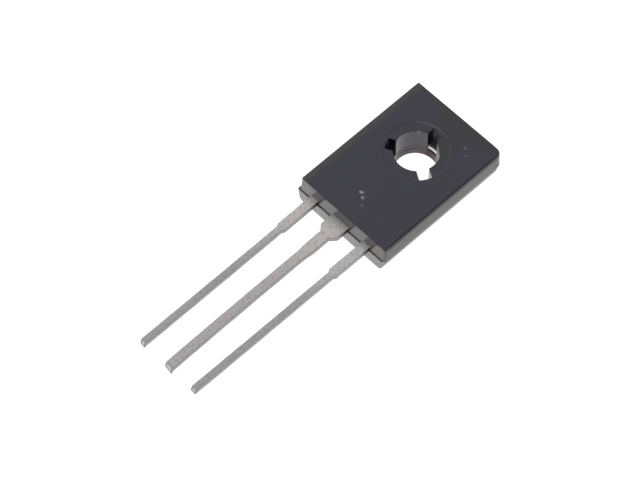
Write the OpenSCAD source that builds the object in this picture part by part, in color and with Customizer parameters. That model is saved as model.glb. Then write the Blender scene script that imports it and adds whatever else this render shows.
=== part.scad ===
// Three-lead power transistor in a flat moulded case with a mounting hole.
// It lies on its back: the origin is on the hole's axis in the back plane,
// +Z comes out of the front face and the leads point along -Y.

/* [Moulded case] */
// Width of the case at the parting plane, where the mould's two halves meet
body_w = 7.7; // [7:0.1:9]
// Length of the front face
body_l = 10.59; // [10:0.01:13]
// Thickness from the back plane to the front face
body_t = 2.5; // [2.3:0.05:3.2]
// Height of the parting plane above the back plane
parting_z = 1.2; // [1.1:0.05:1.35]
// Inset of the long sides at the front face
side_draft = 0.06; // [0.02:0.01:0.12]
// Inset of the lead end at the front face
lead_end_draft = 0.1; // [0.02:0.01:0.14]
// Width of the ledge that the lower half leaves at the lead end
lead_end_ledge = 0.07; // [0.05:0.01:0.2]
// Inset of the free end at the front face
free_end_draft = 0.02; // [0.01:0.01:0.12]
// Inset of the free end at the back plane
free_end_inset = 0.17; // [0.05:0.01:0.25]
// Sideways mismatch of the mould's upper half, to the right
mould_mismatch = 0.16; // [0.02:0.01:0.25]
// Radius of the long edges at the back
back_edge_r = 0.4; // [0.1:0.05:0.6]
// Radius of the worn corner at the free end, seen from the front
worn_corner_r = 0.5; // [0.2:0.05:0.8]
// Radius of the other three corners, seen from the front
corner_r = 0.2; // [0.1:0.05:0.4]

/* [Mounting hole] */
// Distance from the hole's axis to the free end of the front face
hole_to_end = 3.83; // [3.6:0.01:4.2]
// Diameter of the bore through the heat spreader and the plastic above it
bore_d = 3.04; // [2.6:0.02:3.2]
// Width of the three notches in the plastic round the hole
notch_w = 0.84; // [0.6:0.02:1.2]
// Distance from the hole's axis to the outer ends of the two short notches
notch_reach = 2.05; // [1.9:0.01:2.4]
// Distance from the hole's axis to the outer end of the long notch
long_notch_reach = 2.24; // [2.1:0.01:2.5]
// Diameter of the shallow ring pressed round the hole
ring_d = 4.36; // [4:0.02:4.9]
// Depth of the shallow ring
ring_depth = 0.07; // [0.03:0.01:0.12]

/* [Leads] */
// Distance between the centre lines of neighbouring leads
lead_pitch = 2.34; // [2.2:0.02:2.6]
// Thickness of the lead strip
lead_t = 0.42; // [0.38:0.01:0.5]
// Length of the leads outside the case
lead_l = 15; // [8:0.1:18]
// Length of the wider shoulder outside the case
shoulder_l = 3; // [2:0.1:4]
// Width of an outer lead at its shoulder
outer_shoulder_w = 0.66; // [0.6:0.02:0.8]
// Width of an outer lead below its shoulder
outer_lead_w = 0.44; // [0.4:0.02:0.56]
// Width of the centre lead's flange at the case
flange_w = 1.5; // [1.2:0.05:1.7]
// Length of the centre lead's flange outside the case
flange_l = 1; // [0.6:0.05:1.4]
// Width of the centre lead's neck
neck_w = 0.78; // [0.74:0.01:0.9]
// Width of the centre lead below its neck
centre_lead_w = 0.64; // [0.58:0.02:0.72]
// Width of the bonding pad at the inner end of an outer lead
pad_w = 1.3; // [1:0.05:1.4]
// Length of the bonding pad
pad_l = 1.2; // [0.9:0.05:1.3]

/* [Heat spreader and chip] */
// Width of the heat spreader
spreader_w = 5.6; // [5:0.1:6]
// Thickness of the heat spreader
spreader_t = 0.8; // [0.7:0.05:0.9]
// Plastic left between the heat spreader and the free end
spreader_margin = 0.9; // [0.5:0.05:1]
// Bare spreader left between the chip and the notches, and the chip and the lead end
chip_margin = 0.25; // [0.15:0.05:0.4]
// Thickness of the silicon chip
chip_t = 0.22; // [0.15:0.01:0.25]
// Thickness of the solder under the chip
solder_t = 0.05; // [0.03:0.01:0.08]
// Diameter of the bond wires
wire_d = 0.2; // [0.1:0.02:0.26]
// Height of a bond wire's loop above its chord
wire_rise = 0.6; // [0.4:0.05:0.7]

/* [Hidden] */
$fn = 64;

// Small overlap that carries a cut through a face
cut = 0.5;
left = -1;
right = 1;
lead_end = -1;
free_end = 1;

// Ends of the case along Y, at the front face, the parting plane and the back
free_front_y = hole_to_end;
free_mid_y = free_front_y + free_end_draft;
free_back_y = free_mid_y - free_end_inset;
lead_front_y = hole_to_end - body_l;
lead_mid_y = lead_front_y - lead_end_draft;
ledge_y = lead_mid_y - lead_end_ledge;

// Direction and reach of each notch
notches = [
    [90, notch_reach],
    [210, notch_reach],
    [330, long_notch_reach]
];

// The leads lie on the parting plane; the step between widths is a short taper
lead_top_z = parting_z + lead_t;
step_l = (outer_shoulder_w - outer_lead_w) / 2;
lock_l = 0.5;
pad_y = lead_mid_y + lock_l + step_l + pad_l / 2;

// The heat spreader stops short of the bonding pads
pad_clearance = 0.25;
spreader_free_y = free_front_y - spreader_margin;
spreader_lead_y = lead_mid_y + lock_l + step_l + pad_l + pad_clearance;
spreader_l = spreader_free_y - spreader_lead_y;
riser_l = pad_l;
riser_root = 0.5;

// The square chip fills the landing between the hole's notches and the spreader's lead end
landing_y = -long_notch_reach;
chip_y = (landing_y + spreader_lead_y) / 2;
chip_w = landing_y - spreader_lead_y - 2 * chip_margin;
solder_w = chip_w + 2 * solder_t;
chip_z = spreader_t + solder_t;
chip_top_z = chip_z + chip_t;

// The wires' ends run a little past the bonds and are cut back to them
wire_sink = 0.75 * wire_d;
seat_w = 4 * wire_d;

// Outlines

module corner_waste(r) {
    difference() {
        square(r + cut);
        circle(r);
    }
}

// Rounds one corner of a plan; `centre` is the centre of its arc
module round_corner(centre, r, side, end) {
    translate(centre) mirror([side < 0 ? 1 : 0, 0]) mirror([0, end < 0 ? 1 : 0]) corner_waste(r);
}

module case_plan() {
    left_x = -body_w / 2;
    right_x = body_w / 2 + mould_mismatch;
    difference() {
        translate([left_x, ledge_y]) square([right_x - left_x, free_mid_y - ledge_y]);
        round_corner([right_x - worn_corner_r, free_mid_y - worn_corner_r], worn_corner_r, right, free_end);
        round_corner([left_x + corner_r, free_mid_y - corner_r], corner_r, left, free_end);
        round_corner([left_x + corner_r, ledge_y + corner_r], corner_r, left, lead_end);
        round_corner([right_x - corner_r, ledge_y + corner_r], corner_r, right, lead_end);
    }
}

// Section across the case, in X and Z: the drafted upper half over the lower half with its round back edges
module case_cross_section() {
    half = body_w / 2;
    translate([mould_mismatch, 0]) polygon([
        [-half, parting_z],
        [half, parting_z],
        [half - side_draft, body_t],
        [-half + side_draft, body_t]
    ]);
    translate([-half, back_edge_r]) square([body_w, parting_z - back_edge_r]);
    translate([-half + back_edge_r, 0]) square([body_w - 2 * back_edge_r, parting_z]);
    for (side = [left, right]) translate([side * (half - back_edge_r), back_edge_r]) circle(back_edge_r);
}

// Section along the case, in Y and Z, with the ledge at the lead end
module case_long_section() {
    polygon([
        [ledge_y, 0],
        [free_back_y, 0],
        [free_mid_y, parting_z],
        [free_front_y, body_t],
        [lead_front_y, body_t],
        [lead_mid_y, parting_z],
        [ledge_y, parting_z]
    ]);
}

// Flat strip along -Y from the case; each station is [distance from the case, width]
module strip(stations) {
    edge = [for (s = stations) [s[1] / 2, lead_mid_y - s[0]]];
    last = len(edge) - 1;
    polygon(concat(edge, [for (i = [0 : last]) [-edge[last - i][0], edge[last - i][1]]]));
}

// Solids

module across(length) {
    rotate([90, 0, 0]) linear_extrude(length, center = true) children();
}

module along(width) {
    rotate([90, 0, 90]) linear_extrude(width, center = true) children();
}

module blank_case() {
    intersection() {
        linear_extrude(body_t) case_plan();
        across(4 * body_l) case_cross_section();
        along(4 * body_w) case_long_section();
    }
}

// Outline of the hole in the plastic, with the notches where the mould's pins held the spreader down
module hole_outline() {
    circle(d = bore_d);
    for (notch = notches) rotate(notch[0]) intersection() {
        circle(notch[1]);
        translate([0, -notch_w / 2]) square([2 * notch[1], notch_w]);
    }
}

module notched_hole() {
    translate([0, 0, spreader_t]) linear_extrude(body_t - spreader_t + cut) hole_outline();
    translate([0, 0, body_t - ring_depth]) cylinder(h = ring_depth + cut, d = ring_d);
    translate([0, 0, -cut]) cylinder(h = spreader_t + 2 * cut, d = bore_d);
}

module moulded_case() {
    color([0.25, 0.245, 0.29]) difference() {
        blank_case();
        notched_hole();
        collector_frame();
        emitter_lead();
        base_lead();
        chip_solder();
        silicon_chip();
        emitter_bond_wire();
        base_bond_wire();
    }
}

// Heat spreader, riser and centre lead, stamped from one strip of two thicknesses
module collector_frame() {
    color([0.74, 0.68, 0.66]) {
        difference() {
            translate([-spreader_w / 2, spreader_lead_y, 0]) cube([spreader_w, spreader_l, spreader_t]);
            translate([0, 0, -cut]) cylinder(h = spreader_t + 2 * cut, d = bore_d);
        }
        along(flange_w) polygon([
            [spreader_lead_y - riser_l, parting_z],
            [spreader_lead_y - riser_l, lead_top_z],
            [spreader_lead_y, spreader_t],
            [spreader_lead_y + riser_root, spreader_t],
            [spreader_lead_y + riser_root, spreader_t - lead_t],
            [spreader_lead_y, spreader_t - lead_t]
        ]);
        neck_start = flange_l + (flange_w - neck_w) / 2;
        neck_step = (neck_w - centre_lead_w) / 2;
        translate([0, 0, parting_z]) linear_extrude(lead_t) strip([
            [lead_mid_y - spreader_lead_y + riser_l, flange_w],
            [flange_l, flange_w],
            [neck_start, neck_w],
            [shoulder_l, neck_w],
            [shoulder_l + neck_step, centre_lead_w],
            [lead_l, centre_lead_w]
        ]);
    }
}

module outer_lead(side) {
    color([0.72, 0.7, 0.7]) translate([side * lead_pitch, 0, parting_z]) linear_extrude(lead_t) strip([
        [-lock_l - step_l - pad_l, pad_w],
        [-lock_l - step_l, pad_w],
        [-lock_l, outer_shoulder_w],
        [shoulder_l, outer_shoulder_w],
        [shoulder_l + step_l, outer_lead_w],
        [lead_l, outer_lead_w]
    ]);
}

module emitter_lead() {
    outer_lead(left);
}

module base_lead() {
    outer_lead(right);
}

module chip_solder() {
    color([0.6, 0.6, 0.62]) translate([-solder_w / 2, chip_y - solder_w / 2, spreader_t])
        cube([solder_w, solder_w, solder_t]);
}

module silicon_chip() {
    color([0.32, 0.33, 0.38]) translate([-chip_w / 2, chip_y - chip_w / 2, chip_z])
        cube([chip_w, chip_w, chip_t]);
}

// Block under a bond, which trims the wire's end flush with what it is bonded to
module bond_seat(at) {
    translate(at - [seat_w / 2, seat_w / 2, seat_w]) cube(seat_w);
}

// Arc of wire from the chip up to a bonding pad
module bond_wire(side) {
    start = [side * chip_w / 4, chip_y, chip_top_z];
    end = [side * lead_pitch, pad_y, lead_top_z];
    span = end - start;
    chord = norm(span);
    climb = asin(span[2] / chord);
    bend_r = chord * chord / (8 * wire_rise) + wire_rise / 2;
    reach = asin(chord / (2 * bend_r)) + wire_sink / bend_r * 180 / PI;
    color([0.85, 0.85, 0.86]) difference() {
        translate((start + end) / 2)
            rotate([0, -climb, atan2(span[1], span[0])])
                translate([0, 0, wire_rise - bend_r])
                    rotate([90, 0, 0]) rotate([0, 0, 90 - reach]) rotate_extrude(angle = 2 * reach)
                        translate([bend_r, 0]) circle(d = wire_d);
        bond_seat(start);
        bond_seat(end);
    }
}

module emitter_bond_wire() {
    bond_wire(left);
}

module base_bond_wire() {
    bond_wire(right);
}

moulded_case();
collector_frame();
emitter_lead();
base_lead();
silicon_chip();
chip_solder();
emitter_bond_wire();
base_bond_wire();
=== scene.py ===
import bpy
import numpy as np
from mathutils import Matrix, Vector


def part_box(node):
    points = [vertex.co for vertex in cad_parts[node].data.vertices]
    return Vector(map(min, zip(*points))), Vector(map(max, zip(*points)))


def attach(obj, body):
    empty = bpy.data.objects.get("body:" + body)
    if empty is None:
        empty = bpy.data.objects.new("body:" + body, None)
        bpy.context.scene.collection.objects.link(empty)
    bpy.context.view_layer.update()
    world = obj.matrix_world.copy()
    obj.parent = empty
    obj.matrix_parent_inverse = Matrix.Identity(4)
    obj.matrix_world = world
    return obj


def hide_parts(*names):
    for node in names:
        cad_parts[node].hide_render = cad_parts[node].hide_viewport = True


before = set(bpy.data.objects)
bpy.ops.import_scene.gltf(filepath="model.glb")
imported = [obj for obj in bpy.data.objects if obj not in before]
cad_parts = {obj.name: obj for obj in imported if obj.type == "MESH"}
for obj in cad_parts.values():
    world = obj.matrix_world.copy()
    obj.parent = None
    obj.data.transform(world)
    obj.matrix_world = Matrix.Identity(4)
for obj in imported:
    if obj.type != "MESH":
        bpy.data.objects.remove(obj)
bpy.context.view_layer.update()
mm = 0.001              # sizes below are in millimetres, the scene is in metres
tiny = 1e-9             # keeps a division away from zero
closestAngle = 3e-4     # least angle, in radians, between two points of a loop
sharpDegrees = 45       # faces that meet at more than this keep a sharp edge


def nodeBox(node):
    low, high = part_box(node)
    return np.array(low) / mm, np.array(high) / mm


caseLow, caseHigh = nodeBox("moulded_case")
frameLow, frameHigh = nodeBox("collector_frame")
print("frame loaded")


# Meshes from grids of points

def gridFaces(rows, cols, closeRows=False):
    # quads between each row and the next; the columns close on themselves, and the rows too if asked
    r = np.arange(rows if closeRows else rows - 1)[:, None]
    c = np.arange(cols)[None, :]
    nextR = (r + 1) % rows
    nextC = (c + 1) % cols
    corners = [r * cols + c, nextR * cols + c, nextR * cols + nextC, r * cols + nextC]
    return np.stack([corner.ravel() for corner in corners], axis=1)


def capFaces(first, cols):
    # flat end: quads between each point of the upper half of a row and its mate in the lower half
    i = np.arange(cols // 2 - 1)
    return first + np.stack([i, i + 1, cols - 2 - i, cols - 1 - i], axis=1)


def makePiece(name, shells, materials, node):
    # one object from closed shells, each with its own material, points in mm and quads; a shell can
    # also give its material four shares by point: sheared side, cut end, that end's painted-shade
    # outline, bare bore
    points = np.concatenate([shell["points"].reshape(-1, 3) for shell in shells]) * mm
    starts = np.cumsum([0] + [shell["points"].size // 3 for shell in shells[:-1]])
    faces = np.concatenate([shell["faces"] + start for shell, start in zip(shells, starts)])
    materialPlaces = np.concatenate([np.full(len(shell["faces"]), i) for i, shell in enumerate(shells)])
    mesh = bpy.data.meshes.new(name)
    mesh.vertices.add(len(points))
    mesh.vertices.foreach_set("co", points.astype(np.float32).ravel())
    mesh.loops.add(faces.size)
    mesh.loops.foreach_set("vertex_index", faces.astype(np.int32).ravel())
    mesh.polygons.add(len(faces))
    mesh.polygons.foreach_set("loop_start", np.arange(0, faces.size, 4, dtype=np.int32))
    mesh.update(calc_edges=True)
    for material in materials:
        mesh.materials.append(material)
    mesh.polygons.foreach_set("material_index", materialPlaces.astype(np.int32))
    absent = [np.zeros(shell["points"].shape[:-1]) for shell in shells]
    for part in ("cutSide", "cutEnd", "tipShadeRim", "openBore"):
        shares = np.concatenate([shell.get(part, none).ravel() for shell, none in zip(shells, absent)])
        attribute = mesh.attributes.new(part, "FLOAT", "POINT")
        attribute.data.foreach_set("value", shares.astype(np.float32))
    mesh.validate()
    mesh.shade_smooth()
    mesh.set_sharp_from_angle(angle=np.radians(sharpDegrees))
    piece = bpy.data.objects.new(name, mesh)
    bpy.context.scene.collection.objects.link(piece)
    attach(piece, "root")
    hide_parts(node)
    print(name, len(faces), "quads")


# Outlines round the hole's axis, as a reach for each angle

def softMax(a, b, width):
    return np.maximum(a, b) + width * np.log1p(np.exp(-np.abs(a - b) / width))


def softMin(a, b, width):
    return -softMax(-a, -b, width)


def rectReach(angle, box, radii):
    # from the axis to a rectangle: the nearer of the two sides that the ray meets,
    # or the far crossing of a corner's circle where the ray ends in that corner
    xLow, xHigh, yLow, yHigh = box
    c = np.cos(angle)
    s = np.sin(angle)
    c = np.where(np.abs(c) < tiny, tiny, c)
    s = np.where(np.abs(s) < tiny, tiny, s)
    reach = np.minimum(np.where(c > 0, xHigh, xLow) / c, np.where(s > 0, yHigh, yLow) / s)
    corners = ((xHigh, yHigh), (xLow, yHigh), (xLow, yLow), (xHigh, yLow))
    for (cornerX, cornerY), radius in zip(corners, radii):
        midX = cornerX - np.sign(cornerX) * radius
        midY = cornerY - np.sign(cornerY) * radius
        inCorner = (c * reach / midX > 1) & (s * reach / midY > 1)
        along = c * midX + s * midY
        across = midX ** 2 + midY ** 2 - along ** 2
        reach = np.where(inCorner, along + np.sqrt(np.maximum(radius ** 2 - across, 0)), reach)
    return reach


def loopAt(angle, reach, z):
    # points round the axis, each as far out as its reach, at one height or at a height each
    height = np.broadcast_to(z, angle.shape)
    return np.stack([reach * np.cos(angle), reach * np.sin(angle), height], axis=1)


def cornerAngles(box, spread, count):
    # closer angles on both sides of a rectangle's four corners, spread in degrees
    xLow, xHigh, yLow, yHigh = box
    middle = np.arctan2([yHigh, yHigh, yLow, yLow], [xHigh, xLow, xLow, xHigh])
    return (middle[:, None] + np.radians(np.linspace(-spread, spread, count))[None, :]).ravel()


def sortedAngles(*groups):
    # all the angles in order, without those that are nearly the same as the next one
    angle = np.unique(np.concatenate(groups) % (2 * np.pi))
    return angle[np.diff(angle, append=angle[0] + 2 * np.pi) > closestAngle]


# Material helpers

def newMaterial(name):
    material = bpy.data.materials.new(name)
    material.use_nodes = True
    tree = material.node_tree
    return material, tree, tree.nodes["Principled BSDF"]


def objectCoords(tree):
    return tree.nodes.new("ShaderNodeTexCoord").outputs["Object"]


def axisValues(tree, coords):
    # the three coordinates, in mm
    scale = tree.nodes.new("ShaderNodeVectorMath")
    scale.operation = "SCALE"
    scale.inputs["Scale"].default_value = 1 / mm
    split = tree.nodes.new("ShaderNodeSeparateXYZ")
    tree.links.new(coords, scale.inputs[0])
    tree.links.new(scale.outputs["Vector"], split.inputs[0])
    return split.outputs["X"], split.outputs["Y"], split.outputs["Z"]


def axisReach(tree, coords):
    # distance from the hole's axis, in mm
    flat = tree.nodes.new("ShaderNodeVectorMath")
    flat.operation = "MULTIPLY"
    flat.inputs[1].default_value = (1 / mm, 1 / mm, 0)
    reach = tree.nodes.new("ShaderNodeVectorMath")
    reach.operation = "LENGTH"
    tree.links.new(coords, flat.inputs[0])
    tree.links.new(flat.outputs["Vector"], reach.inputs[0])
    return reach.outputs["Value"]


def pointShare(tree, name):
    node = tree.nodes.new("ShaderNodeAttribute")
    node.attribute_name = name
    return node.outputs["Fac"]


def noiseValue(tree, coords, scale, detail, stretch=(1, 1, 1)):
    mapping = tree.nodes.new("ShaderNodeMapping")
    mapping.inputs["Scale"].default_value = stretch
    noise = tree.nodes.new("ShaderNodeTexNoise")
    noise.inputs["Scale"].default_value = scale
    noise.inputs["Detail"].default_value = detail
    tree.links.new(coords, mapping.inputs["Vector"])
    tree.links.new(mapping.outputs["Vector"], noise.inputs["Vector"])
    return noise.outputs["Fac"]


def mapValue(tree, value, fromLow, fromHigh, toLow, toHigh):
    # a smooth step from one range to another
    node = tree.nodes.new("ShaderNodeMapRange")
    node.interpolation_type = "SMOOTHSTEP"
    ranges = {"From Min": fromLow, "From Max": fromHigh, "To Min": toLow, "To Max": toHigh}
    for name, number in ranges.items():
        node.inputs[name].default_value = number
    tree.links.new(value, node.inputs["Value"])
    return node.outputs["Result"]


def fade(tree, value, ends):
    # 0 at the first end of a range, 1 at the second
    return mapValue(tree, value, *ends, 0, 1)


def mathValue(tree, operation, a, b):
    node = tree.nodes.new("ShaderNodeMath")
    node.operation = operation
    for socket, value in zip(node.inputs, (a, b)):
        if isinstance(value, (int, float)):
            socket.default_value = value
        else:
            tree.links.new(value, socket)
    return node.outputs["Value"]


def mixColour(tree, factor, a, b):
    # the node has sockets of the same names for each kind of data, so the colours' go by number
    node = tree.nodes.new("ShaderNodeMix")
    node.data_type = "RGBA"
    tree.links.new(factor, node.inputs["Factor"])
    for socket, value in zip((node.inputs[6], node.inputs[7]), (a, b)):
        if isinstance(value, tuple):
            socket.default_value = (*value, 1)
        else:
            tree.links.new(value, socket)
    return node.outputs[2]


def spotMask(tree, coords, centre, size, turn, soft):
    # 1 inside an ellipse at a place in mm, fading to 0 at its edge over the soft share of its size
    mapping = tree.nodes.new("ShaderNodeMapping")
    mapping.vector_type = "TEXTURE"
    mapping.inputs["Location"].default_value = Vector(centre) * mm
    mapping.inputs["Rotation"].default_value = (0, 0, np.radians(turn))
    mapping.inputs["Scale"].default_value = Vector(size) * mm
    length = tree.nodes.new("ShaderNodeVectorMath")
    length.operation = "LENGTH"
    tree.links.new(coords, mapping.inputs["Vector"])
    tree.links.new(mapping.outputs["Vector"], length.inputs[0])
    return mapValue(tree, length.outputs["Value"], 1 - soft, 1, 1, 0)


def addBump(tree, shader, height, depth, strength):
    bump = tree.nodes.new("ShaderNodeBump")
    bump.inputs["Strength"].default_value = strength
    bump.inputs["Distance"].default_value = depth * mm
    tree.links.new(height, bump.inputs["Height"])
    tree.links.new(bump.outputs["Normal"], shader.inputs["Normal"])


# Moulding epoxy: dark blue-grey with greyer clouds, a fine grain, painted glints and highlights, a lead
# end painted lighter

epoxy = {
    "blue": (0.004, 0.002, 0.025),
    "grey": (0.001, 0.0005, 0.005),
    "greyY": (-4.0, 3.0),               # greyer towards the free end
    "greyShare": (0.35, 1),
    "cloudsPerMetre": 330,
    "cloudRange": (0.35, 0.65),
    # painted light: the right wall is painted a lighter neutral grey
    "rightWall": (0.013, 0.013, 0.013),
    "rightWallX": (3.88, 3.93),
    "leftSheen": (0.026, 0.024, 0.028),    # painted highlight: a lighter band along the left front edge
    "leftSheenX": (-2.95, -3.5),
    "ringHighlight": (0.056, 0.055, 0.059),  # painted highlight on the recess's edge, strongest along one arc
    "ringInner": (2.1, 2.17),
    "ringOuter": (2.2, 2.27),
    "ringShare": 0.12,
    "arcAt": (-0.8, 1.98, 2.45),
    "arcHalf": (1.2, 0.7, 0.5),
    "arcTurn": 20,
    "arcSoft": 0.5,
    "leadEnd": (0.088, 0.085, 0.086),   # painted light: the lead end is painted lighter, most of all below
    "leadEndY": (-6.70, -6.76),
    "leadEndZ": (2.49, 2.44),
    "leadEndPink": (0.096, 0.07, 0.069),    # pinker beside the right corner
    "pinkX": (2.7, 3.3),
    "leadEndLeft": (0.128, 0.122, 0.124),
    "leftX": (-2.6, -3.1),
    "leadEndFoot": (0.03, 0.027, 0.029),    # painted shade along the parting plane
    "footZ": (1.52, 1.26),
    "leadEndLow": (0.15, 0.145, 0.145),
    "lowZ": (1.25, 1.15),
    # colour of the painted glints
    "glint": (0.44, 0.43, 0.46),
    "glintSoft": 0.85,
    "glintNoisePerMetre": 9000,         # breaks up the painted glints' edges
    "glintRange": (0.35, 0.55),
    "glintBreak": (0.4, 1),
    "grainPerMetre": 14000,
    "grainDepth": 0.003,
    "grainStrength": 0.6,
    "dragPerMetre": 5000,               # fine lines drawn up the hole's wall
    "dragStretch": (1, 1, 0.06),
    "dragReach": (1.56, 1.6),
    "dragShare": 4.0,
    "roughness": (0.14, 0.2),
    "ior": 1.62,
}

# painted glints, six in small dents on the front face and one in the hole: place, half size, turn and
# strength
glints = [
    {"at": (-0.27, -4.73, 2.5), "half": (0.25, 0.16, 0.3), "turn": 14, "strength": 0.95},
    {"at": (0.08, -4.98, 2.5), "half": (0.18, 0.16, 0.3), "turn": 0, "strength": 0.85},
    {"at": (0.48, -5.44, 2.5), "half": (0.17, 0.15, 0.3), "turn": 0, "strength": 0.14},
    {"at": (2.04, 2.36, 2.5), "half": (0.18, 0.13, 0.3), "turn": -20, "strength": 0.3},
    {"at": (2.51, 1.97, 2.5), "half": (0.2, 0.2, 0.3), "turn": 0, "strength": 0.08},
    {"at": (-2.0, -0.79, 2.5), "half": (0.14, 0.12, 0.3), "turn": 0, "strength": 0.1},
    {"at": (-0.97, 1.19, 2.32), "half": (0.18, 0.18, 0.2), "turn": 0, "strength": 0.5},
]


def leadEndColour(tree, x, z):
    # the lead end's painted light, changed in turn: pinker towards the right, lighter to the left,
    # painted shade along the parting plane and lighter again towards the back
    colour = epoxy["leadEnd"]
    for value, ends, other in ((x, "pinkX", "leadEndPink"), (x, "leftX", "leadEndLeft"),
                               (z, "footZ", "leadEndFoot"), (z, "lowZ", "leadEndLow")):
        colour = mixColour(tree, fade(tree, value, epoxy[ends]), colour, epoxy[other])
    return colour


def makeEpoxy():
    material, tree, shader = newMaterial("caseEpoxy")
    coords = objectCoords(tree)
    x, y, z = axisValues(tree, coords)
    reach = axisReach(tree, coords)
    clouds = noiseValue(tree, coords, epoxy["cloudsPerMetre"], detail=3)
    clouds = fade(tree, clouds, epoxy["cloudRange"])
    greyer = mathValue(tree, "MULTIPLY", clouds, mapValue(tree, y, *epoxy["greyY"], *epoxy["greyShare"]))
    colour = mixColour(tree, greyer, epoxy["blue"], epoxy["grey"])
    # painted light: the right wall is painted a lighter neutral grey
    colour = mixColour(tree, fade(tree, x, epoxy["rightWallX"]), colour, epoxy["rightWall"])
    # painted highlight along the left front edge
    colour = mixColour(tree, fade(tree, x, epoxy["leftSheenX"]), colour, epoxy["leftSheen"])
    # painted highlight round the recess's edge, strongest along one arc
    ring = mathValue(tree, "MULTIPLY", fade(tree, reach, epoxy["ringInner"]),
                     mapValue(tree, reach, *epoxy["ringOuter"], 1, 0))
    arc = spotMask(tree, coords, epoxy["arcAt"], epoxy["arcHalf"], epoxy["arcTurn"], epoxy["arcSoft"])
    ringLit = mathValue(tree, "MAXIMUM", mapValue(tree, clouds, 0, 1, 0, epoxy["ringShare"]), arc)
    colour = mixColour(tree, mathValue(tree, "MULTIPLY", ring, ringLit), colour, epoxy["ringHighlight"])
    # painted light: the lead end's wall is painted lighter, with painted shade along the parting plane
    leadEndLit = mathValue(tree, "MULTIPLY", fade(tree, y, epoxy["leadEndY"]),
                        fade(tree, z, epoxy["leadEndZ"]))
    colour = mixColour(tree, leadEndLit, colour, leadEndColour(tree, x, z))
    broken = noiseValue(tree, coords, epoxy["glintNoisePerMetre"], detail=2)
    broken = mapValue(tree, broken, *epoxy["glintRange"], *epoxy["glintBreak"])
    # painted glints on the front face and in the hole
    for glint in glints:
        mask = spotMask(tree, coords, glint["at"], glint["half"], glint["turn"], epoxy["glintSoft"])
        share = mathValue(tree, "MULTIPLY", mask, broken)
        share = mathValue(tree, "MULTIPLY", share, glint["strength"])
        colour = mixColour(tree, share, colour, epoxy["glint"])
    tree.links.new(colour, shader.inputs["Base Color"])
    tree.links.new(mapValue(tree, clouds, 0, 1, *epoxy["roughness"]), shader.inputs["Roughness"])
    grain = noiseValue(tree, coords, epoxy["grainPerMetre"], detail=4)
    drag = noiseValue(tree, coords, epoxy["dragPerMetre"], detail=2, stretch=epoxy["dragStretch"])
    inHole = mapValue(tree, reach, *epoxy["dragReach"], epoxy["dragShare"], 0)
    height = mathValue(tree, "ADD", grain, mathValue(tree, "MULTIPLY", drag, inHole))
    addBump(tree, shader, height, epoxy["grainDepth"], epoxy["grainStrength"])
    shader.inputs["IOR"].default_value = epoxy["ior"]
    return material


# Dull tin on the stamped strip: grey with pinkish streaks drawn along the leads

tin = {
    "grey": (0.545, 0.53, 0.53),
    "pink": (0.575, 0.535, 0.537),
    "streaksPerMetre": 900,
    "streakStretch": (1, 0.28, 1),
    "pinkRange": (0.42, 0.62),
    "dark": (0.27, 0.26, 0.262),
    "darkShare": 0.42,
    "mottlePerMetre": 8000,
    "mottleStretch": (1, 0.6, 1),
    "darkRange": (0.45, 0.68),
    "tipTone": (0.35, 0.347, 0.35),         # darker towards the tips, less so on the centre lead
    "tipTonePink": (0.40, 0.37, 0.376),
    "tipToneCentre": (0.46, 0.43, 0.436),
    "centreX": (1.5, 1.0),
    "tipToneY": (-8.0, -14.0),
    "tipToneShare": 0.85,
    "cutSide": (0.315, 0.306, 0.306),
    "cutEnd": (0.55, 0.54, 0.535),
    "tipShadeRim": (0.27, 0.265, 0.265),     # painted shade: a darker outline round each cut end
    "root": (0.04, 0.036, 0.036),       # painted shade: the sides are darker where they leave the case
    "rootY": (-7.75, -7.0),
    "grainPerMetre": 16000,
    "grainDepth": 0.006,
    "grainStrength": 0.7,
    "roughness": (0.38, 0.52),
    "roughRange": (0.3, 0.7),
    "metallic": 0.85,
}


def makeTin():
    material, tree, shader = newMaterial("dullTin")
    coords = objectCoords(tree)
    x, y, _ = axisValues(tree, coords)
    streaks = noiseValue(tree, coords, tin["streaksPerMetre"], detail=3, stretch=tin["streakStretch"])
    mottle = noiseValue(tree, coords, tin["mottlePerMetre"], detail=4, stretch=tin["mottleStretch"])
    pinker = fade(tree, streaks, tin["pinkRange"])
    colour = mixColour(tree, pinker, tin["grey"], tin["pink"])
    tipTone = mixColour(tree, pinker, tin["tipTone"], tin["tipTonePink"])
    aside = mathValue(tree, "ABSOLUTE", x, 0)
    tipTone = mixColour(tree, fade(tree, aside, tin["centreX"]), tipTone, tin["tipToneCentre"])
    colour = mixColour(tree, mapValue(tree, y, *tin["tipToneY"], 0, tin["tipToneShare"]), colour, tipTone)
    # painted shade: the sheared sides turn dark where they leave the case
    side = mixColour(tree, fade(tree, y, tin["rootY"]), tin["cutSide"], tin["root"])
    colour = mixColour(tree, pointShare(tree, "cutSide"), colour, side)
    darker = mapValue(tree, mottle, *tin["darkRange"], 0, tin["darkShare"])
    colour = mixColour(tree, darker, colour, tin["dark"])
    # the cut end's bright middle, ringed by a painted-shade outline
    for part in ("tipShadeRim", "cutEnd"):
        colour = mixColour(tree, pointShare(tree, part), colour, tin[part])
    tree.links.new(colour, shader.inputs["Base Color"])
    rough = mapValue(tree, mottle, *tin["roughRange"], *tin["roughness"])
    tree.links.new(rough, shader.inputs["Roughness"])
    grain = noiseValue(tree, coords, tin["grainPerMetre"], detail=4)
    addBump(tree, shader, grain, tin["grainDepth"], tin["grainStrength"])
    shader.inputs["Metallic"].default_value = tin["metallic"]
    return material


# Heat spreader: the same strip, thicker, with bare copper and drawn lines in the punched bore

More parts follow.
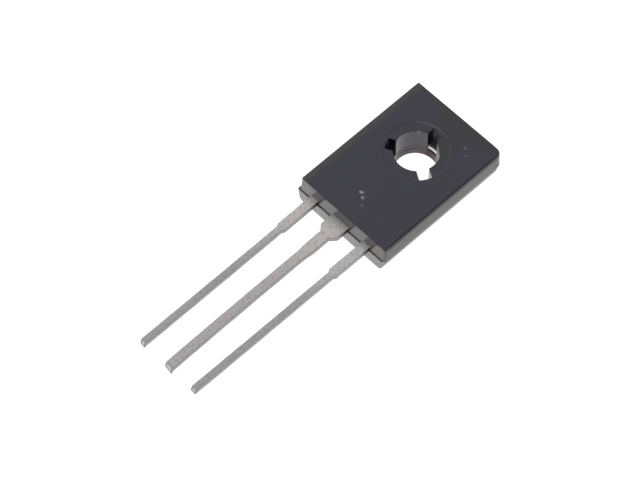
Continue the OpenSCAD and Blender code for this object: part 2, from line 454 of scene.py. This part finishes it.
spreaderLook = {
    "plate": (0.52, 0.50, 0.50),
    "plateDark": (0.38, 0.36, 0.36),
    "scratchesPerMetre": 2500,
    "scratchStretch": (1, 0.06, 1),
    "scratchRange": (0.4, 0.7),
    "copper": (0.11, 0.094, 0.104),
    "copperDark": (0.055, 0.047, 0.052),
    "copperOpen": (0.07, 0.034, 0.03),  # redder below the first notch
    "boreReach": (1.512, 1.53),
    "linesPerMetre": 700,
    "lineStretch": (0.5, 0.5, 20),
    "lineRange": (0.44, 0.56),
    "lineDepth": 0.01,
    "lineStrength": 0.5,
    "rolled": (0.92, 0.84, 0.83),       # painted highlight on the rolled edge in that notch
    "rolledZ": (0.67, 0.71),
    "topReach": (1.7, 1.85),
    "roughness": (0.14, 0.24),
    "roughRange": (0.3, 0.7),
    "metallic": 0.9,
}


def makeSpreaderMetal():
    material, tree, shader = newMaterial("spreaderMetal")
    coords = objectCoords(tree)
    z = axisValues(tree, coords)[2]
    reach = axisReach(tree, coords)
    openBore = pointShare(tree, "openBore")
    scratches = noiseValue(tree, coords, spreaderLook["scratchesPerMetre"], detail=4,
                           stretch=spreaderLook["scratchStretch"])
    lines = noiseValue(tree, coords, spreaderLook["linesPerMetre"], detail=3,
                       stretch=spreaderLook["lineStretch"])
    scratched = fade(tree, scratches, spreaderLook["scratchRange"])
    plate = mixColour(tree, scratched, spreaderLook["plate"], spreaderLook["plateDark"])
    bore = mixColour(tree, openBore, spreaderLook["copper"], spreaderLook["copperOpen"])
    bore = mixColour(tree, fade(tree, lines, spreaderLook["lineRange"]), bore, spreaderLook["copperDark"])
    colour = mixColour(tree, fade(tree, reach, spreaderLook["boreReach"]), bore, plate)
    # painted highlight on the rolled edge where the first notch leaves the bore open
    rolled = mathValue(tree, "MULTIPLY", mapValue(tree, reach, *spreaderLook["topReach"], 1, 0),
                       fade(tree, z, spreaderLook["rolledZ"]))
    rolled = mathValue(tree, "MULTIPLY", rolled, openBore)
    colour = mixColour(tree, rolled, colour, spreaderLook["rolled"])
    tree.links.new(colour, shader.inputs["Base Color"])
    rough = mapValue(tree, scratches, *spreaderLook["roughRange"], *spreaderLook["roughness"])
    tree.links.new(rough, shader.inputs["Roughness"])
    addBump(tree, shader, lines, spreaderLook["lineDepth"], spreaderLook["lineStrength"])
    shader.inputs["Metallic"].default_value = spreaderLook["metallic"]
    return material


caseEpoxy = makeEpoxy()
dullTin = makeTin()
spreaderMetal = makeSpreaderMetal()
print("materials made")


# Heat spreader's sizes, shared by its plate, the riser and the pocket in the case

spreader = {
    "halfWidth": 2.8,
    "leadEndY": -4.8,
    "thickness": 0.8,
    "riserLength": 1.2,             # of the slope from the plate up to the leads' level
    "boreR": 1.5,
    "boreTaper": 0.035,             # the punched bore narrows towards the back
    "boreShift": (0.067, -0.067),   # and runs a little aside
    "boreEdge": 0.24,               # rolled edge where the first notch leaves the bore open
    "heldEdge": 0.02,               # the same under the plastic
    "openOver": 0.12,               # depth of notch over which one gives way to the other
    "openDegrees": 60,              # reach of the first notch to either side
    "edge": 0.04,                   # broken edge of the stamped plate
    "pocketGap": 0.004,
    "evenSteps": 360,               # how finely the plate is drawn
    "cornerDegrees": 2,
    "cornerSteps": 9,
    "turnSteps": 7,
    "wallSteps": 12,
    "flatShares": (0.02, 0.5, 0.98),
}
halfPlate = spreader["halfWidth"]
spreaderBox = np.array([-halfPlate, halfPlate, spreader["leadEndY"], frameHigh[1]])
inward = np.array([1, -1, 1, -1])  # moves the four sides of a box towards its middle


# Sizes of the lead strip, shared by the leads and the case

strip = {
    "thickness": 0.42,
    "middleZ": 1.41,
    "rootY": -6.86,             # where the leads leave the case
    "tipY": frameLow[1],
    "edge": 0.03,               # radius rolled on the long edges
    "leastEdge": 0.01,
    "edgeSteps": 7,
    "tipEdge": 0.015,
    "tipSteps": 5,
    "tipShadeRim": 0.11,             # width of the cut end's painted-shade outline
    "endRows": (0.06, 0.02, 0),     # rows of points inside that outline, from the middle out
    "recess": 0.08,             # the cut stops short of the burr
    "slant": 0.15,              # and leans back at the top
    "slantReach": 0.6,          # length of lead that gives way to it
    "burrReach": 0.09,
    "burrAside": 0.4,           # share of the burr that goes sideways
    "step": 0.03,               # distance between sections
    "clearance": 0.005,         # least distance from the tip's edge to the next section
    "smoothing": 2,             # sections over which a change of width is rounded
    "sway": 0.004,              # unevenness of the tinned edges
    "swayPhase": 3,
    "swayWaves": ((2.1, 1, 1), (5.3, 0.7, 2)),  # turn per mm, share and phase of each wave
}


# Moulded case: loops round the hole's axis, from the pocket's roof up the hole, out over the
# front face, down the sides, past the parting plane and in under the back

case = {
    "partingZ": 1.2,
    "partingEdge": 0.02,
    "partingLift": 0.002,   # keeps the two halves' edges apart where they line up
    "mismatch": 0.16,       # the upper half sits this far to the right
    "sideDraft": 0.06,
    "freeEndDraft": 0.015,
    "leadEndDraft": 0.1,
    "ledge": 0.07,
    "freeEndInset": 0.17,
    "lowerDraft": 0.1,
    "lowerLeadDraft": 0.04,
    "backEdge": 0.4,
    "backBreak": 0.05,
    "frontCorners": (0.42, 0.06, 0.12, 0.16),   # from the worn one, anticlockwise
    "upperCorners": (0.37, 0.06, 0.12, 0.16),
    "lowerCorners": (0.14, 0.06, 0.1, 0.06),
    "leastCorner": 0.01,
    "frontEdge": 0.025,
    "wornEdge": 0.18,       # the right front edge is rubbed round
    "wornFade": 6,          # degrees over which it begins and ends
    "holeR": 1.535,
    "holeLowR": 1.5,        # the hole narrows down to the spreader
    "notchHalf": 0.42,
    "notchDegrees": (90, 210, 330),
    "notchReach": (2.05, 2.05, 2.24),
    "notchSoft": 0.012,
    "rimEdge": 0.035,
    "ringR": 2.18,
    "ringDepth": 0.035,
    "ringSlope": 0.18,
    "leastFloor": 0.02,     # of the recess, beyond a notch
    "dentDepth": 0.12,      # hollow round each painted glint
    "dentSize": 0.8,
    "evenSteps": 420,       # how finely the case is drawn, closer round the dents
    "cornerDegrees": 5,
    "cornerSteps": 41,
    "notchMargin": 0.06,
    "notchSteps": 26,
    "dentDegrees": (-99, -79),
    "dentSteps": 80,
    "dentShares": (0.48, 0.76),
    "dentRows": 32,
    "holeRows": 9,
    "rimRows": 6,
    "floorShares": (0.05, 0.5, 0.95, 1),
    "slopeRows": 8,
    "faceRows": 16,
    "faceEnds": (0.003, 0.997, 1),
    "edgeRows": 9,
    "sideShares": (0.985, 0.8, 0.6, 0.4, 0.2, 0),
    "lowerRows": 4,
    "backRows": 11,
}
notchAxes = np.radians(case["notchDegrees"])


def caseAngles():
    # even steps, closer at the corners, round the dents and along the notches' side walls, whose
    # points lie at the angle with the sine of half the notch's width over the reach
    even = np.linspace(0, 2 * np.pi, case["evenSteps"], endpoint=False)
    outline = (caseLow[0], caseHigh[0], caseLow[1], caseHigh[1])
    corners = cornerAngles(outline, case["cornerDegrees"], case["cornerSteps"])
    dents = np.radians(np.linspace(*case["dentDegrees"], case["dentSteps"]))
    far = max(case["notchReach"]) + case["notchMargin"]
    near = case["holeR"] - case["notchMargin"]
    wall = np.arcsin(case["notchHalf"] / np.linspace(far, near, case["notchSteps"]))
    sides = np.concatenate([wall, -wall])
    return sortedAngles(even, corners, dents, (notchAxes[:, None] + sides[None, :]).ravel())


def notchedReach(angle, holeR):
    # the hole's radius, opened between two lines beside each notch's axis out to the notch's own reach
    third = 2 * np.pi / 3
    fromFirst = (angle - notchAxes[0] + third / 2) % (2 * np.pi)
    reach = np.array(case["notchReach"])[(fromFirst // third).astype(int) % 3]
    offset = fromFirst % third - third / 2
    side = np.minimum(case["notchHalf"] / np.maximum(np.abs(np.sin(offset)), tiny), 2 * reach)
    opened = softMax(side, np.full_like(side, holeR), case["notchSoft"])
    return softMin(opened, reach, case["notchSoft"])


def holeLoops(angle):
    # up the notched hole, over its rounded rim, across the recess and up the recess's sloping edge
    floorZ = caseHigh[2] - case["ringDepth"]
    rim = case["rimEdge"]
    radii = np.linspace(case["holeLowR"], case["holeR"], case["holeRows"])
    heights = np.linspace(spreader["thickness"], floorZ - rim, case["holeRows"])
    loops = [loopAt(angle, notchedReach(angle, radius), z) for radius, z in zip(radii, heights)]
    hole = notchedReach(angle, case["holeR"])
    for turn in np.linspace(0, np.pi / 2, case["rimRows"])[1:]:
        loops.append(loopAt(angle, hole + rim * (1 - np.cos(turn)), floorZ - rim * (1 - np.sin(turn))))
    floorEnd = np.maximum(case["ringR"] - case["ringSlope"] / 2, hole + rim + case["leastFloor"])
    for share in case["floorShares"]:
        loops.append(loopAt(angle, hole + rim + (floorEnd - hole - rim) * share, floorZ))
    for share in np.linspace(0, 1, case["slopeRows"])[1:]:
        z = floorZ + case["ringDepth"] * share ** 2 * (3 - 2 * share)
        loops.append(loopAt(angle, floorEnd + case["ringSlope"] * share, z))
    return loops, floorEnd + case["ringSlope"]


def frontEdgeAt(angle, box):
    # radius of the front edge for each angle: the worn one on the right side, the fine one elsewhere
    low = np.arctan2(box[2], box[1])
    high = np.arctan2(box[3], box[1])
    wide = np.radians(case["wornFade"])
    signed = (angle + np.pi) % (2 * np.pi) - np.pi
    share = np.interp(signed, [low - wide / 4, low + wide / 4, high - wide, high + wide], [0, 1, 1, 0])
    return case["frontEdge"] + (case["wornEdge"] - case["frontEdge"]) * share


def dented(loop):
    # lowers the front face round each painted glint by a bell curve of the distance from its middle
    for glint in glints:
        size = case["dentSize"] * glint["half"][0]
        away = np.hypot(loop[:, 0] - glint["at"][0], loop[:, 1] - glint["at"][1]) / size
        loop[:, 2] -= case["dentDepth"] * glint["strength"] * np.exp(-away ** 2)
    return loop


def upperLoops(angle, faceStart, box):
    # out over the front face, round its edge and down the drafted sides to the parting plane
    top = caseHigh[2]
    bottom = case["partingZ"] + case["partingEdge"]
    edge = frontEdgeAt(angle, box)
    inset = inward[:, None] * edge
    box = box[:, None]
    draft = inward * [case["sideDraft"], case["sideDraft"], case["leadEndDraft"], case["freeEndDraft"]]
    draft = draft[:, None]
    radii = np.array(case["frontCorners"])[:, None]
    below = np.array(case["upperCorners"])[:, None]
    least = case["leastCorner"]
    faceEnd = rectReach(angle, box + draft + inset, np.maximum(radii - edge, least))
    shares = [case["faceEnds"], np.linspace(0, 1, case["faceRows"])[1:-1],
              np.linspace(*case["dentShares"], case["dentRows"])]
    loops = []
    for share in np.sort(np.concatenate(shares)):
        loops.append(dented(loopAt(angle, faceStart + (faceEnd - faceStart) * share, top)))
    for turn in np.linspace(0, np.pi / 2, case["edgeRows"])[1:]:
        left = 1 - np.sin(turn)
        reach = rectReach(angle, box + draft + inset * left, np.maximum(radii - edge * left, least))
        loops.append(loopAt(angle, reach, top - edge * (1 - np.cos(turn))))
    for share in case["sideShares"]:
        z = bottom + (top - edge - bottom) * share
        part = (z - case["partingZ"]) / (top - case["partingZ"])
        reach = rectReach(angle, box + draft * part, below + (radii - below) * share)
        loops.append(loopAt(angle, reach, z))
    return loops


def lowerLoops(angle, box, radii):
    # from the parting plane down the sides, under the rounded long edges to the back plane
    radius = case["backEdge"]
    straight = np.linspace(case["partingZ"] - case["partingEdge"], radius, case["lowerRows"])
    rounded = radius * (1 - np.sin(np.linspace(0, np.pi / 2, case["backRows"])[1:]))
    loops = []
    for z in np.concatenate([straight, rounded]):
        drop = max(radius - z, 0)
        depth = 1 - z / case["partingZ"]
        sideInset = case["lowerDraft"] * depth + radius - np.sqrt(radius ** 2 - drop ** 2)
        endInset = case["freeEndInset"] * depth
        leadInset = case["lowerLeadDraft"] * depth + max(case["backBreak"] - z, 0)
        inset = np.array([sideInset, -sideInset, leadInset, -endInset])
        loops.append(loopAt(angle, rectReach(angle, box + inset, radii), z))
    return loops


def caseShell():
    angle = caseAngles()
    leadEndY = strip["rootY"]
    upperBox = np.array([caseLow[0] + case["mismatch"], caseHigh[0], leadEndY, caseHigh[1]])
    lowerRight = caseHigh[0] - case["mismatch"]
    lowerBox = np.array([caseLow[0], lowerRight, leadEndY - case["ledge"], caseHigh[1]])
    upperRadii = np.array(case["upperCorners"])
    lowerRadii = np.array(case["lowerCorners"])
    pocketBox = spreaderBox - inward * spreader["pocketGap"]
    pocket = rectReach(angle, pocketBox, np.full(4, case["leastCorner"]))
    roofZ = spreader["thickness"] + spreader["pocketGap"]
    hole, faceStart = holeLoops(angle)
    fine = case["partingEdge"]
    parting = []
    for box, radii, side in ((upperBox, upperRadii, 1), (lowerBox, lowerRadii, -1)):
        reach = rectReach(angle, box + inward * fine, radii - fine)
        parting.append(loopAt(angle, reach, case["partingZ"] + side * case["partingLift"]))
    loops = [loopAt(angle, pocket, roofZ)] + hole + upperLoops(angle, faceStart, upperBox)
    loops += parting + lowerLoops(angle, lowerBox, lowerRadii) + [loopAt(angle, pocket, 0)]
    return {"points": np.stack(loops), "faces": gridFaces(len(loops), len(angle), closeRows=True)}


makePiece("caseMoulding", [caseShell()], [caseEpoxy], "moulded_case")


# Leads: a round-edged section carried along Y, its width taken from stations of distance and width

outerStations = [(-1.81, 1.3), (-0.61, 1.3), (-0.5, 0.66), (3, 0.66), (3.11, 0.44), (15, 0.44)]
centreStations = [(-2.08, 1.5), (1, 1.5), (1.4, 0.78), (2.7, 0.78), (3.4, 0.64), (15, 0.64)]
emitter = {"x": -2.34, "bow": 0.02, "lean": 0.06, "burr": 0.05}
collector = {"x": 0.025, "bow": -0.036, "lean": 0.06, "burr": 0.08}
base = {"x": 2.37, "bow": 0.022, "lean": -0.045, "burr": 0.0}


def smoothed(values):
    # the mean of each value and its neighbours
    half = strip["smoothing"]
    padded = np.pad(values, half, mode="edge")
    return np.convolve(padded, np.ones(2 * half + 1) / (2 * half + 1), mode="valid")


def stripRows(stations, middleZ):
    # place, half width, height and inset of each section from the tip to the inner end; the first
    # ones are drawn in for the cut end, its painted-shade outline and its rolled edge
    distance, widths = np.array(stations).T
    endY = strip["rootY"] - distance[0]
    y = np.linspace(strip["tipY"], endY, int((endY - strip["tipY"]) / strip["step"]))
    halfWidth = smoothed(np.interp(strip["rootY"] - y, distance, widths)) / 2
    z = np.full_like(y, strip["middleZ"]) if middleZ is None else smoothed(middleZ(y))
    turn = np.linspace(0, np.pi / 2, strip["tipSteps"])
    endInset = strip["tipShadeRim"] + np.array(strip["endRows"])
    tipInset = np.concatenate([endInset, strip["tipEdge"] * (1 - np.sin(turn))])
    tipRise = np.concatenate([np.zeros(len(endInset)), strip["tipEdge"] * (1 - np.cos(turn))])
    tipY = strip["tipY"] + tipRise
    inside = y > tipY[-1] + strip["clearance"]
    y = np.concatenate([tipY, y[inside]])
    halfWidth = np.concatenate([np.full(len(tipY), halfWidth[0]), halfWidth[inside]])
    z = np.concatenate([np.full(len(tipY), z[0]), z[inside]])
    inset = np.concatenate([tipInset, np.zeros(inside.sum())])
    return y, halfWidth, z, inset


def stripShell(lead, stations, middleZ=None):
    # each section is a rectangle with four rounded corners, its middle moved aside by a bow and a
    # lean; two waves sway its sides, the tip is set back by a recess and by a slant that grows with
    # height, and a bell curve of the distance from the tip draws one lower corner out as a burr
    y, halfWidth, z, inset = stripRows(stations, middleZ)
    along = np.clip((strip["rootY"] - y) / (strip["rootY"] - strip["tipY"]), 0, 1)
    middleX = lead["x"] + lead["bow"] * 4 * along * (1 - along) + lead["lean"] * along
    y, halfWidth, z, middleX, inset = [row[:, None] for row in (y, halfWidth, z, middleX, inset)]
    steps = strip["edgeSteps"]
    cornerX = np.repeat([1, -1, -1, 1], steps)[None, :]
    cornerZ = np.repeat([1, 1, -1, -1], steps)[None, :]
    quarter = np.arange(4)[:, None] * np.pi / 2
    roundTurn = (np.linspace(0, np.pi / 2, steps)[None, :] + quarter).ravel()[None, :]
    radius = np.maximum(strip["edge"] - inset, strip["leastEdge"])
    phase = lead["x"] + strip["swayPhase"] * cornerX
    waves = [share * np.sin(rate * y + turns * phase) for rate, share, turns in strip["swayWaves"]]
    x = cornerX * (halfWidth - inset - radius) + radius * np.cos(roundTurn) + strip["sway"] * sum(waves)
    h = cornerZ * (strip["thickness"] / 2 - inset - radius) + radius * np.sin(roundTurn)
    fromTip = y - strip["tipY"]
    burr = np.exp(-(fromTip / strip["burrReach"]) ** 2) * ((cornerX > 0) & (cornerZ < 0))
    nearTip = np.clip(1 - fromTip / strip["slantReach"], 0, 1)
    back = (strip["recess"] + strip["slant"] * (0.5 + h / strip["thickness"])) * nearTip
    y = y + np.maximum(back - lead["burr"] * burr, 0)
    x = x + middleX + lead["burr"] * strip["burrAside"] * burr
    h = h + z - lead["burr"] * burr
    rows, cols = x.shape
    faces = [gridFaces(rows, cols), capFaces(0, cols), capFaces((rows - 1) * cols, cols)[:, ::-1]]
    cutEnd = inset > strip["tipShadeRim"]
    tipShadeRim = (inset > 0) & (inset <= strip["tipShadeRim"])
    return {"points": np.stack([x, y, h], axis=-1), "faces": np.concatenate(faces),
            "cutSide": np.broadcast_to(np.abs(np.cos(roundTurn)), x.shape) ** 2,
            "cutEnd": np.broadcast_to(cutEnd, x.shape).astype(float),
            "tipShadeRim": np.broadcast_to(tipShadeRim, x.shape).astype(float)}


def riserZ(y):
    # the centre strip climbs from the spreader to the leads' level
    low = spreader["thickness"] - strip["thickness"] / 2
    foot = spreader["leadEndY"]
    return np.interp(y, [foot - spreader["riserLength"], foot], [strip["middleZ"], low])


def boreReach(angle, z):
    # the bore's radius at a height, seen from the hole's axis: it narrows and moves aside downwards
    low = 1 - z / spreader["thickness"]
    radius = spreader["boreR"] - spreader["boreTaper"] * low
    shiftX, shiftY = spreader["boreShift"]
    along = (np.cos(angle) * shiftX + np.sin(angle) * shiftY) * low
    across = (np.cos(angle) * shiftY - np.sin(angle) * shiftX) * low
    return along + np.sqrt(radius ** 2 - across ** 2)


def plateShell():
    # loops round the bore: up its wall, out over the top, down the sides and in under the back
    even = np.linspace(0, 2 * np.pi, spreader["evenSteps"], endpoint=False)
    corners = cornerAngles(spreaderBox, spreader["cornerDegrees"], spreader["cornerSteps"])
    angle = sortedAngles(even, corners)
    edge = spreader["edge"]
    top = spreader["thickness"]
    # 1 where the first notch leaves the bore's edge open, 0 where the plastic holds it
    opened = (notchedReach(angle, case["holeR"]) - case["holeR"]) / spreader["openOver"]
    nearFirst = np.cos(angle - notchAxes[0]) > np.cos(np.radians(spreader["openDegrees"]))
    opened = np.where(nearFirst, np.clip(opened, 0, 1), 0)
    rolled = spreader["heldEdge"] + (spreader["boreEdge"] - spreader["heldEdge"]) * opened
    turns = np.linspace(0, np.pi / 2, spreader["turnSteps"])
    loops = []
    for turn in turns:
        z = edge * (1 - np.cos(turn))
        loops.append(loopAt(angle, boreReach(angle, z) + edge * (1 - np.sin(turn)), z))
    for share in np.linspace(0, 1, spreader["wallSteps"])[1:-1]:
        z = edge + (top - rolled - edge) * share
        loops.append(loopAt(angle, boreReach(angle, z), z))
    for turn in turns:
        z = top - rolled * (1 - np.sin(turn))
        loops.append(loopAt(angle, boreReach(angle, z) + rolled * (1 - np.cos(turn)), z))
    outer = rectReach(angle, spreaderBox + inward * edge, np.full(4, edge))
    start = boreReach(angle, top) + rolled
    for share in spreader["flatShares"]:
        loops.append(loopAt(angle, start + (outer - start) * share, top))
    for z, turn in [(top, t) for t in turns] + [(0, t) for t in turns[::-1]]:
        inset = edge * (1 - np.sin(turn))
        drop = edge * (1 - np.cos(turn))
        reach = rectReach(angle, spreaderBox + inward * inset, np.full(4, 2 * edge - inset))
        loops.append(loopAt(angle, reach, top - drop if z else drop))
    start = boreReach(angle, 0) + edge
    for share in spreader["flatShares"][::-1]:
        loops.append(loopAt(angle, start + (outer - start) * share, 0))
    return {"points": np.stack(loops), "faces": gridFaces(len(loops), len(angle), closeRows=True),
            "openBore": np.tile(opened, (len(loops), 1))}


for name, lead, node in (("emitterStrip", emitter, "emitter_lead"), ("baseStrip", base, "base_lead")):
    makePiece(name, [stripShell(lead, outerStations)], [dullTin], node)
makePiece("collectorStrip", [stripShell(collector, centreStations, riserZ), plateShell()],
          [dullTin, spreaderMetal], "collector_frame")


# Pieces sealed in the epoxy keep their solids and get their finish

wireLook = {"light": (0.82, 0.82, 0.83), "dark": (0.6, 0.6, 0.62), "metallic": 1.0, "rough": 0.35}
sealed = {
    "silicon_chip": {"light": (0.16, 0.16, 0.20), "dark": (0.09, 0.09, 0.12),
                     "metallic": 0.6, "rough": 0.22},
    "chip_solder": {"light": (0.50, 0.50, 0.52), "dark": (0.34, 0.34, 0.36),
                    "metallic": 1.0, "rough": 0.5},
    "emitter_bond_wire": wireLook,
    "base_bond_wire": wireLook,
}
sealedMottle = {"perMetre": 6000, "depth": 0.004, "strength": 0.5}


def makeSealedFinish(name, look):
    material, tree, shader = newMaterial(name)
    coords = objectCoords(tree)
    mottle = noiseValue(tree, coords, sealedMottle["perMetre"], detail=4)
    tree.links.new(mixColour(tree, mottle, look["light"], look["dark"]), shader.inputs["Base Color"])
    addBump(tree, shader, mottle, sealedMottle["depth"], sealedMottle["strength"])
    shader.inputs["Metallic"].default_value = look["metallic"]
    shader.inputs["Roughness"].default_value = look["rough"]
    return material


for nodeName, look in sealed.items():
    finish = makeSealedFinish(nodeName + "Finish", look)
    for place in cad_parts[nodeName].material_slots:
        place.material = finish
print("sealed pieces finished")


# Stage: a pale lit floor, soft light all round and the camera

stage = {
    "white": (1, 1, 1, 1),
    "floorHalf": 1500,
    "floorZ": -0.02,
    "floorColour": (0.12, 0.12, 0.12),
    "floorRough": 0.9,
    "floorGlow": 1.08,
    "skyMiddle": 0.56,
    "skySlope": 0.44,           # how much the light grows towards its bright side
    "skyTowards": (-0.75, 0, 0.66),
    "azimuth": 45.906,
    "elevation": 59.341,
    "distance": 172.316,
    "target": (-0.329, -8.327, 0.574),
    "focalPixels": 2700,
    "imageWidth": 640,
    "clipStart": 10,
}


def makeFloor():
    material, _, shader = newMaterial("paleFloor")
    shader.inputs["Base Color"].default_value = (*stage["floorColour"], 1)
    shader.inputs["Roughness"].default_value = stage["floorRough"]
    shader.inputs["Emission Color"].default_value = stage["white"]
    shader.inputs["Emission Strength"].default_value = stage["floorGlow"]
    half = stage["floorHalf"] * mm
    z = stage["floorZ"] * mm
    corners = [(-half, -half, z), (half, -half, z), (half, half, z), (-half, half, z)]
    mesh = bpy.data.meshes.new("floor")
    mesh.from_pydata(corners, [], [(0, 1, 2, 3)])
    mesh.materials.append(material)
    floor = bpy.data.objects.new("floor", mesh)
    bpy.context.scene.collection.objects.link(floor)


def makeSky():
    # light from all sides, its strength growing evenly along one direction
    world = bpy.data.worlds.new("softLight")
    world.use_nodes = True
    tree = world.node_tree
    towards = tree.nodes.new("ShaderNodeVectorMath")
    towards.operation = "DOT_PRODUCT"
    towards.inputs[1].default_value = stage["skyTowards"]
    tree.links.new(tree.nodes.new("ShaderNodeTexCoord").outputs["Generated"], towards.inputs[0])
    slope = mathValue(tree, "MULTIPLY", towards.outputs["Value"], stage["skySlope"])
    background = tree.nodes["Background"]
    background.inputs["Color"].default_value = stage["white"]
    tree.links.new(mathValue(tree, "ADD", slope, stage["skyMiddle"]), background.inputs["Strength"])
    bpy.context.scene.world = world


def makeCamera():
    data = bpy.data.cameras.new("camera")
    camera = bpy.data.objects.new("camera", data)
    bpy.context.scene.collection.objects.link(camera)
    turn = np.radians(stage["azimuth"])
    lift = np.radians(stage["elevation"])
    back = Vector((np.sin(turn) * np.cos(lift), -np.cos(turn) * np.cos(lift), np.sin(lift)))
    data.lens = stage["focalPixels"] / stage["imageWidth"] * data.sensor_width
    data.clip_start = stage["clipStart"] * mm
    camera.location = (Vector(stage["target"]) + back * stage["distance"]) * mm
    camera.rotation_euler = back.to_track_quat("Z", "Y").to_euler()
    bpy.context.scene.camera = camera


makeFloor()
makeSky()
makeCamera()
bpy.context.scene.view_settings.view_transform = "Standard"
print("stage set")
